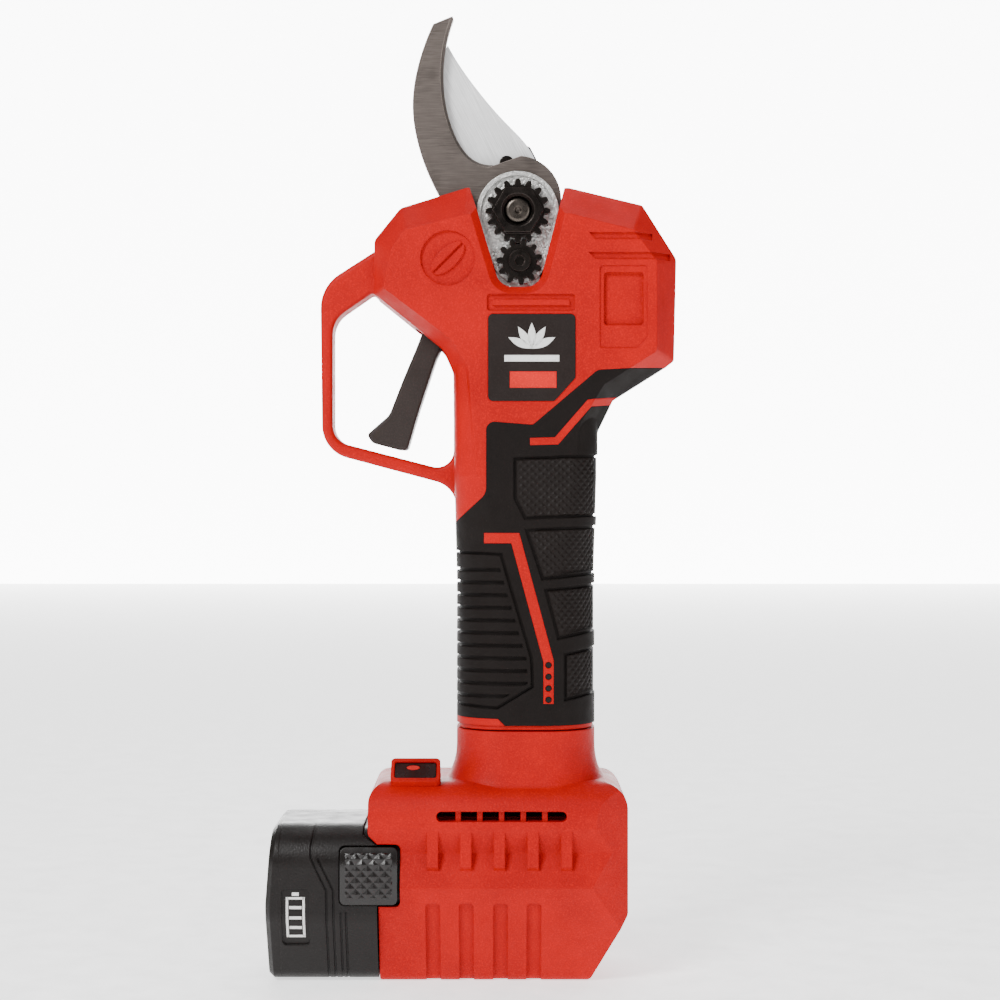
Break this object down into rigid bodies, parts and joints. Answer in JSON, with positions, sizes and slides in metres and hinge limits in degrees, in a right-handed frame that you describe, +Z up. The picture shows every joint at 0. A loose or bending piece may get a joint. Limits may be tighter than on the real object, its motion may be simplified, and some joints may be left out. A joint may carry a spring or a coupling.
{
  "type": "battery pruning shears",
  "caption": "Hand-held battery pruner: fixed curved hook, swinging cutting blade, trigger in a finger guard, rubber grip and slide-in battery foot.",
  "frame": {"origin": "on the flat underside of the base, on the grip's own axis", "axes": "+Z up the grip towards the blades, -Y is the front with the nut and badge, -X is the side of the trigger and battery"},
  "size_m": [0.1199, 0.0522, 0.2853],
  "materials": {
    "red_plastic": "fine moulded grain",
    "black_rubber": "soft overmould",
    "badge": "satin plate",
    "black_plastic": "satin",
    "gloss_black": "glossy",
    "light_pipe": "dark light pipe",
    "hook_steel": "dark ground steel",
    "blade_steel": "bright ground steel",
    "cast_aluminium": "cast, bead blasted",
    "black_oxide": "black oxide on steel",
    "steel": "turned steel",
    "copper": "bare contact metal",
    "board_green": "solder mask",
    "cell_wrap": "shrink wrap",
    "lead_red": "wire insulation",
    "magnet": "sintered"
  },
  "bodies": {
    "housing": {"front_shell": "red_plastic", "rear_shell": "red_plastic", "base_front_shell": "red_plastic", "base_rear_shell": "red_plastic", "front_grip_sleeve": "black_rubber", "rear_grip_sleeve": "black_rubber", "front_badge": "badge", "rear_badge": "badge", "level_leds": "light_pipe", "power_panel": "red_plastic", "housing_screws": "black_oxide", "base_screws": "black_oxide", "cutter_seat": "cast_aluminium", "hook_blade": "hook_steel", "hook_screws": "black_oxide", "pivot_bolt": "black_oxide", "pivot_washer": "steel", "lock_screw": "black_oxide", "pinion_bearings": "steel", "gearbox_case": "cast_aluminium", "motor_can": "steel", "motor_end_cap": "black_plastic", "motor_magnets": "magnet", "trigger_pin": "steel", "trigger_spring": "steel", "trigger_switch": "black_plastic", "control_board": "board_green", "motor_leads": "lead_red", "battery_leads": "lead_red", "battery_terminals": "copper"},
    "button": {"power_button": "gloss_black"},
    "nut": {"toothed_nut": "black_oxide"},
    "lock_wheel": {"lock_gear": "black_oxide"},
    "blade": {"cutting_blade": "blade_steel", "drive_pin": "black_oxide", "sector_gear": "black_oxide"},
    "pinion": {"bevel_pinion": "steel", "planet_carrier": "steel"},
    "rotor": {"motor_rotor": "steel", "sun_gear": "steel"},
    "planet_1": {"planet_gear_1": "steel"},
    "planet_2": {"planet_gear_2": "steel"},
    "planet_3": {"planet_gear_3": "steel"},
    "trigger": {"trigger": "black_plastic"},
    "battery": {"battery_case": "black_plastic", "battery_end_cap": "black_plastic", "battery_contacts": "copper", "battery_cell_1": "cell_wrap", "battery_cell_2": "cell_wrap", "battery_cell_3": "cell_wrap", "cell_straps": "steel", "pack_board": "board_green"},
    "front_latch": {"front_latch": "gloss_black"},
    "rear_latch": {"rear_latch": "gloss_black"}
  },
  "joints": [
    {"name": "blade_swing", "type": "hinge", "parent": "housing", "child": "blade", "pos_m": [-0.0024, 0, 0.226], "axis": [0, 1, 0], "range_deg": [0, 50]},
    {"name": "pinion_spin", "type": "hinge", "parent": "housing", "child": "pinion", "pos_m": [-0.0024, 0, 0.19], "axis": [0, 0, 1], "range_deg": [0, 150]},
    {"name": "rotor_spin", "type": "hinge", "parent": "housing", "child": "rotor", "pos_m": [-0.0024, 0, 0.14], "axis": [0, 0, 1], "range_deg": [0, 675]},
    {"name": "planet_1_spin", "type": "hinge", "parent": "pinion", "child": "planet_1", "pos_m": [-0.0024, 0.00675, 0.164], "axis": [0, 0, 1], "range_deg": [-420, 0]},
    {"name": "planet_2_spin", "type": "hinge", "parent": "pinion", "child": "planet_2", "pos_m": [-0.00825, -0.00337, 0.164], "axis": [0, 0, 1], "range_deg": [-420, 0]},
    {"name": "planet_3_spin", "type": "hinge", "parent": "pinion", "child": "planet_3", "pos_m": [0.00345, -0.00337, 0.164], "axis": [0, 0, 1], "range_deg": [-420, 0]},
    {"name": "nut_turn", "type": "hinge", "parent": "housing", "child": "nut", "pos_m": [-0.0024, -0.012, 0.226], "axis": [0, 1, 0], "range_deg": [-60, 60]},
    {"name": "lock_wheel_turn", "type": "hinge", "parent": "housing", "child": "lock_wheel", "pos_m": [-0.0019, -0.012, 0.21116], "axis": [0, 1, 0], "range_deg": [-88, 88]},
    {"name": "trigger_pull", "type": "hinge", "parent": "housing", "child": "trigger", "pos_m": [-0.02475, 0, 0.1974], "axis": [0, -1, 0], "range_deg": [0, 14], "stiffness_Nm_per_rad": 0.3, "springref_deg": -5.73},
    {"name": "button_press", "type": "slide", "parent": "housing", "child": "button", "axis": [0, 0.6198, -0.7848], "range_m": [0, 0.0008], "stiffness_N_per_m": 400},
    {"name": "battery_slide", "type": "slide", "parent": "housing", "child": "battery", "axis": [-1, 0, 0], "range_m": [0, 0.066]},
    {"name": "front_latch_press", "type": "slide", "parent": "battery", "child": "front_latch", "axis": [0, 1, 0], "range_m": [0, 0.001], "stiffness_N_per_m": 600},
    {"name": "rear_latch_press", "type": "slide", "parent": "battery", "child": "rear_latch", "axis": [0, -1, 0], "range_m": [0, 0.001], "stiffness_N_per_m": 600}
  ],
  "couplings": [
    {"joint": "pinion_spin", "follows": "blade_swing", "ratio": 3},
    {"joint": "rotor_spin", "follows": "blade_swing", "ratio": 13.5},
    {"joint": "lock_wheel_turn", "follows": "nut_turn", "ratio": -1.4545},
    {"joint": "planet_1_spin", "follows": "blade_swing", "ratio": -8.4},
    {"joint": "planet_2_spin", "follows": "blade_swing", "ratio": -8.4},
    {"joint": "planet_3_spin", "follows": "blade_swing", "ratio": -8.4}
  ]
}
